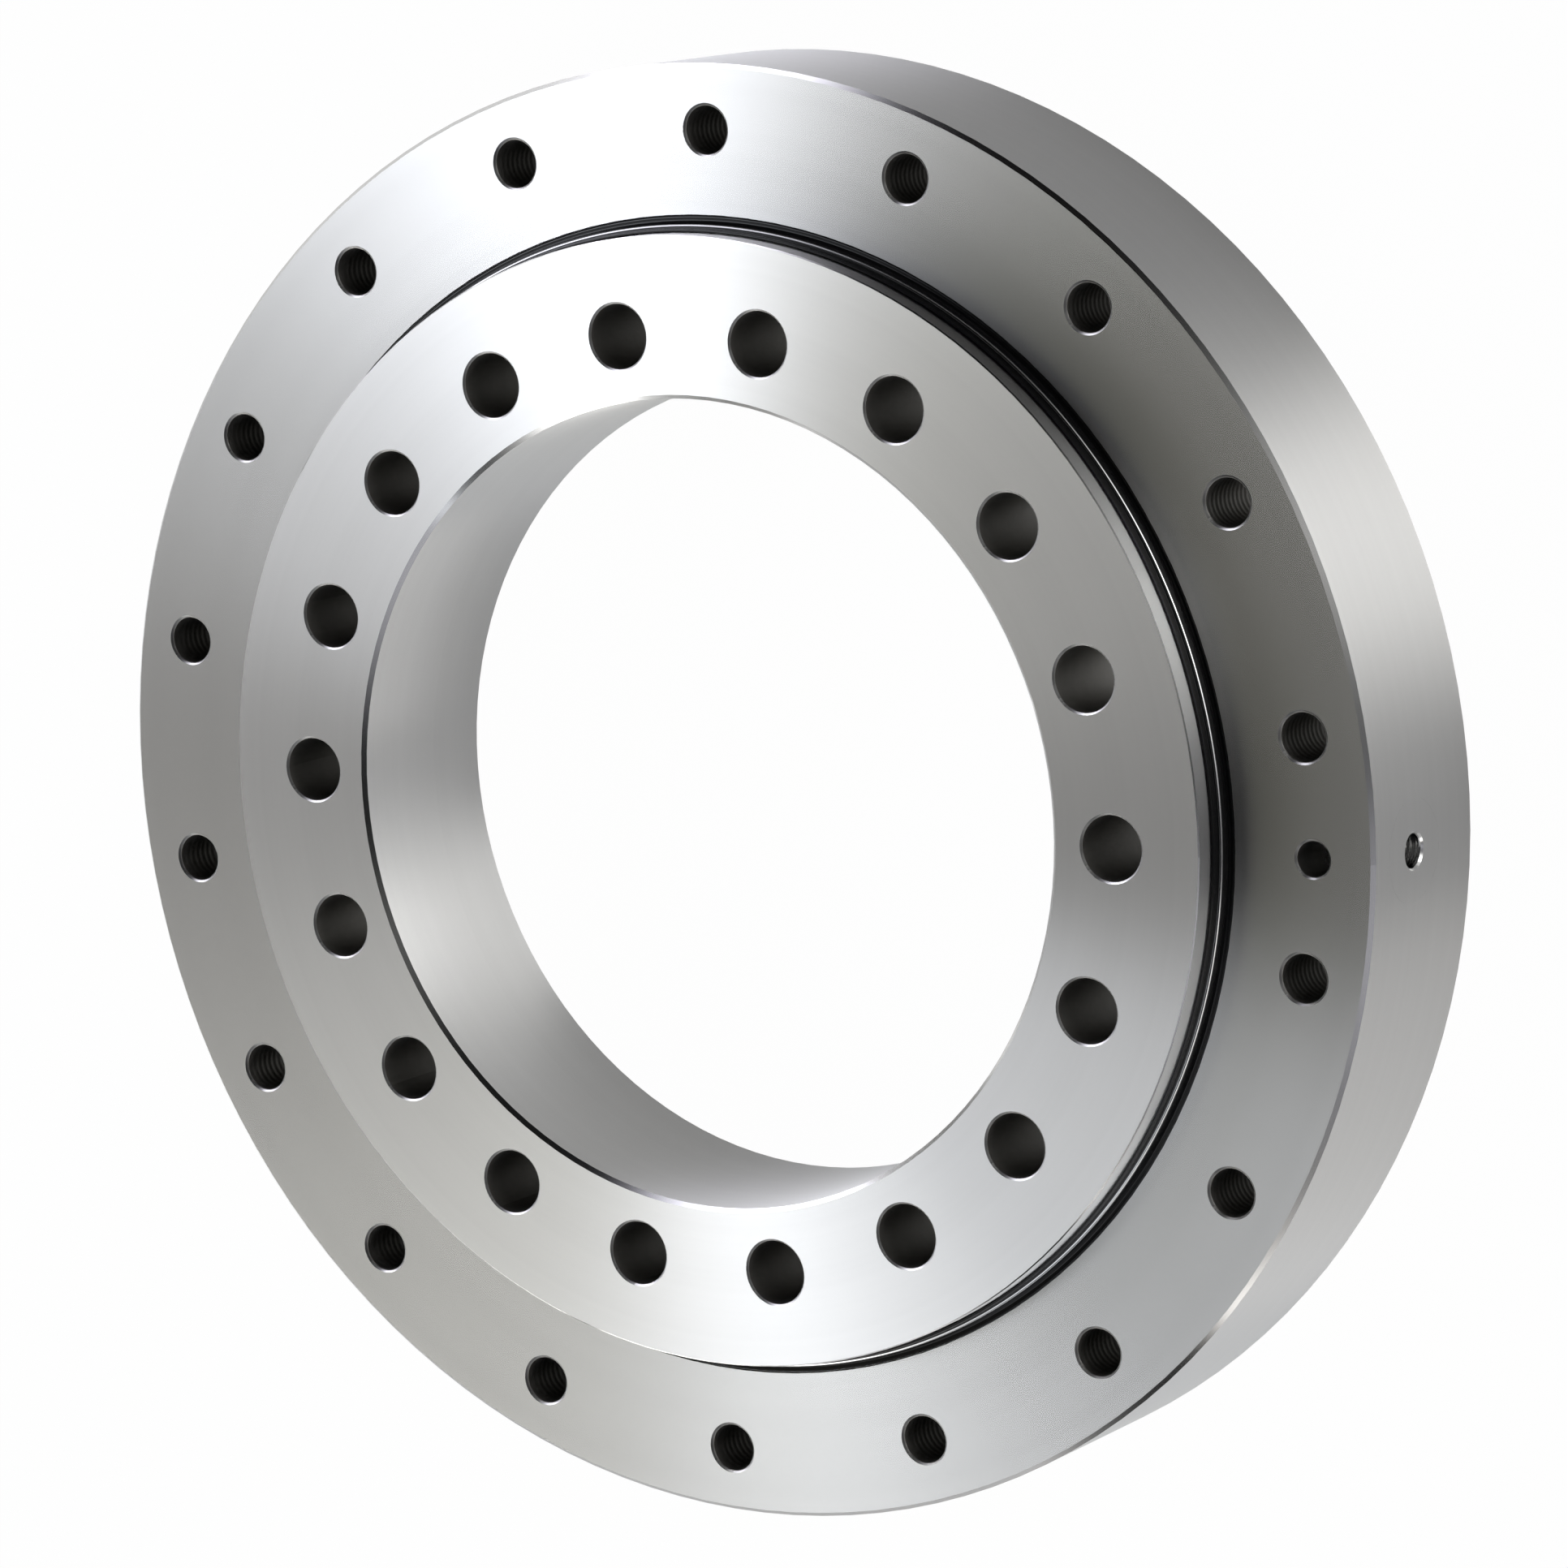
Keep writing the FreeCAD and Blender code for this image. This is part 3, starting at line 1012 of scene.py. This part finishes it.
@dataclass
class Studio:
    """Camera, pale floor and soft light.

    The boxes' places, levels and tints are fitted to the brightness that the photograph shows on
    the faces, rim and bore.

    Attributes:
        eye: Where the camera stands, in metres.
        right: Its own right.
        up: Its own up.
        back: Against its line of sight.
        lens: Its focal length.
        sensor: Width and height of its sensor.
        world_level: Brightness of the room without the soft boxes.
        floor_half: Half the floor's width.
        floor_drop: How far the floor lies below the bearing.
        floor_colour: Reflectance of the floor.
        floor_seen: How far the floor is plain white to the camera.
        floor_mirrored: How bright metal mirrors the floor.
        streak: How much brighter the streak and the patch on it are.
        streak_azimuth: Direction of the streak, which runs both ways.
        streak_edge: Its soft edge, as across over along.
        patch_azimuth: Direction of the patch.
        patch_edge: Its soft side edge, likewise.
        patch_start: Its soft near edge, in millimetres along its direction.
        boxes: The soft boxes.
    """

    eye: Colour = (0.864190, 0.291324, 1.365325)
    right: Colour = (0.84294416, -0.0184047, -0.53768617)
    up: Colour = (-0.08137032, 0.98355621, -0.16123289)
    back: Colour = (0.53181201, 0.17966202, 0.82758537)
    lens: float = 150.124
    sensor: float = 36.0
    world_level: float = 0.01
    floor_half: float = 20.0
    floor_drop: float = 0.00005
    floor_colour: float = 0.55
    floor_seen: float = 0.985
    floor_mirrored: float = 0.38
    # streak: How much brighter the painted light of the streak and the patch on it is.
    streak: float = 0.6
    streak_azimuth: float = 24.5
    streak_edge: Span = (0.09, 0.34)
    patch_azimuth: float = 145.0
    patch_edge: Span = (0.5, 0.8)
    patch_start: Span = (230.0, 330.0)
    boxes: tuple[SoftBox, ...] = (
        SoftBox(171, 52, 0.13, 0.12, 0.026, 6.6, (0.955, 0.99, 1.065)),
        SoftBox(226, -5, 0.40, 0.38, 0.146, 20.3),
        SoftBox(28, -5, 0.28, 0.23, 0.141, 14.5),
        SoftBox(-90, 46, 0.29, 0.50, 0.022, 1.77, (0.96, 0.997, 1.055)),
        SoftBox(159, -5, 1.17, 0.15, 0.214, 11.4, (0.963, 0.96, 1.077)),
        SoftBox(-44, 8, 0.47, 0.09, 0.023, 4.2, (1.02, 1.0, 0.98)),
        SoftBox(213, 38, 0.79, 0.29, 0.020, 0.375, (1.069, 1.049, 0.882)),
        SoftBox(-35, 26, 0.85, 0.07, 0.025, 0.65, (0.97, 0.97, 1.06)),
    )

    def build(self) -> None:
        """Sets up the camera, the floor and the light."""
        self.build_camera()
        self.build_floor()
        self.build_world()
        bpy.context.scene.view_settings.view_transform = "Standard"

    def build_camera(self) -> None:
        """The camera at the photograph's viewing angle, turned about its own line of sight."""
        data = bpy.data.cameras.new("photo_camera")
        data.sensor_width = self.sensor
        data.sensor_height = self.sensor
        data.lens = self.lens
        data.clip_end = 100.0
        camera = bpy.data.objects.new("photo_camera", data)
        columns = zip(self.right, self.up, self.back, self.eye)
        camera.matrix_world = Matrix([*columns, (0.0, 0.0, 0.0, 1.0)])
        bpy.context.scene.collection.objects.link(camera)
        bpy.context.scene.camera = camera

    def build_floor(self) -> None:
        """A wide pale floor, white to the camera but for a faint shadow.

        Metal mirrors a bright streak and a bright patch on it, which are painted light.
        """
        mesh = bpy.data.meshes.new("floor")
        half = self.floor_half
        corners = [(-half, -half, 0), (half, -half, 0), (half, half, 0), (-half, half, 0)]
        mesh.from_pydata(corners, [], [(0, 1, 2, 3)])
        floor = bpy.data.objects.new("floor", mesh)
        floor.location.z = -self.floor_drop
        bpy.context.scene.collection.objects.link(floor)
        made, net = new_material("floor_white")
        colour = (*[self.floor_colour] * 3, 1.0)
        paper = net.node("ShaderNodeBsdfDiffuse", None, {"Color": colour})
        white = net.node("ShaderNodeEmission", None, {"Strength": 1.0})
        x, y, _ = net.place()
        # Painted light: a streak and a patch of floor glow brighter, to glossy rays only
        across, along = self.turned(x, y, self.streak_azimuth)
        streak = (abs(across) / abs(along)).fall(*self.streak_edge)
        across, along = self.turned(x, y, self.patch_azimuth)
        patch = (abs(across) / abs(along)).fall(*self.patch_edge)
        patch = patch * along.rise(*self.patch_start)
        camera, glossy = self.rays(net)
        mirrored = (streak + patch) * self.streak + self.floor_mirrored
        share = camera * self.floor_seen + glossy * mirrored
        net.surface(net.mix(share, paper, white))
        mesh.materials.append(made)

    def turned(self, x: Signal, y: Signal, azimuth: float) -> tuple[Signal, Signal]:
        """How far a point lies across and along a direction on the floor."""
        turn = math.radians(azimuth)
        across = x * -math.sin(turn) + y * math.cos(turn)
        return across, x * math.cos(turn) + y * math.sin(turn)

    def rays(self, net: Net) -> tuple[Signal, Signal]:
        """1 for a camera ray, and 1 for a ray that metal mirrors."""
        path = net.node("ShaderNodeLightPath").socket.node.outputs
        return Signal(net, path["Is Camera Ray"]), Signal(net, path["Is Glossy Ray"])

    def build_world(self) -> None:
        """A dark room with soft boxes, which looks white behind the object."""
        world = bpy.data.worlds.new("studio")
        world.use_nodes = True
        bpy.context.scene.world = world
        net = Net(world.node_tree)
        direction = net.node("ShaderNodeTexCoord", None, None, "Generated")
        light = net.vector(*[self.world_level] * 3)
        for box in self.boxes:
            glow = net.vectors("SCALE", box.tint, Scale=box.glow(net, direction))
            light = net.vectors("ADD", light, glow)
        camera, _ = self.rays(net)
        seen = net.blend(camera, light, (1.0, 1.0, 1.0))
        shader = net.node("ShaderNodeBackground", None, {"Color": seen, "Strength": 1.0})
        net.node("ShaderNodeOutputWorld", None, {"Surface": shader})


def main() -> None:
    """Builds and dresses the bearing, then the studio."""
    logging.basicConfig(level=logging.INFO, format="%(message)s")
    Rings().dress()
    spacers = "ball_spacers"
    balls = [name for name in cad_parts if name.startswith("ball_") and name != spacers]
    BallRow(sorted(balls)).dress()
    rubber = SealRubber().material()
    for side in Side:
        Seal(side).build(rubber)
    Threads().build()
    Studio().build()


if __name__ == "__main__":
    main()
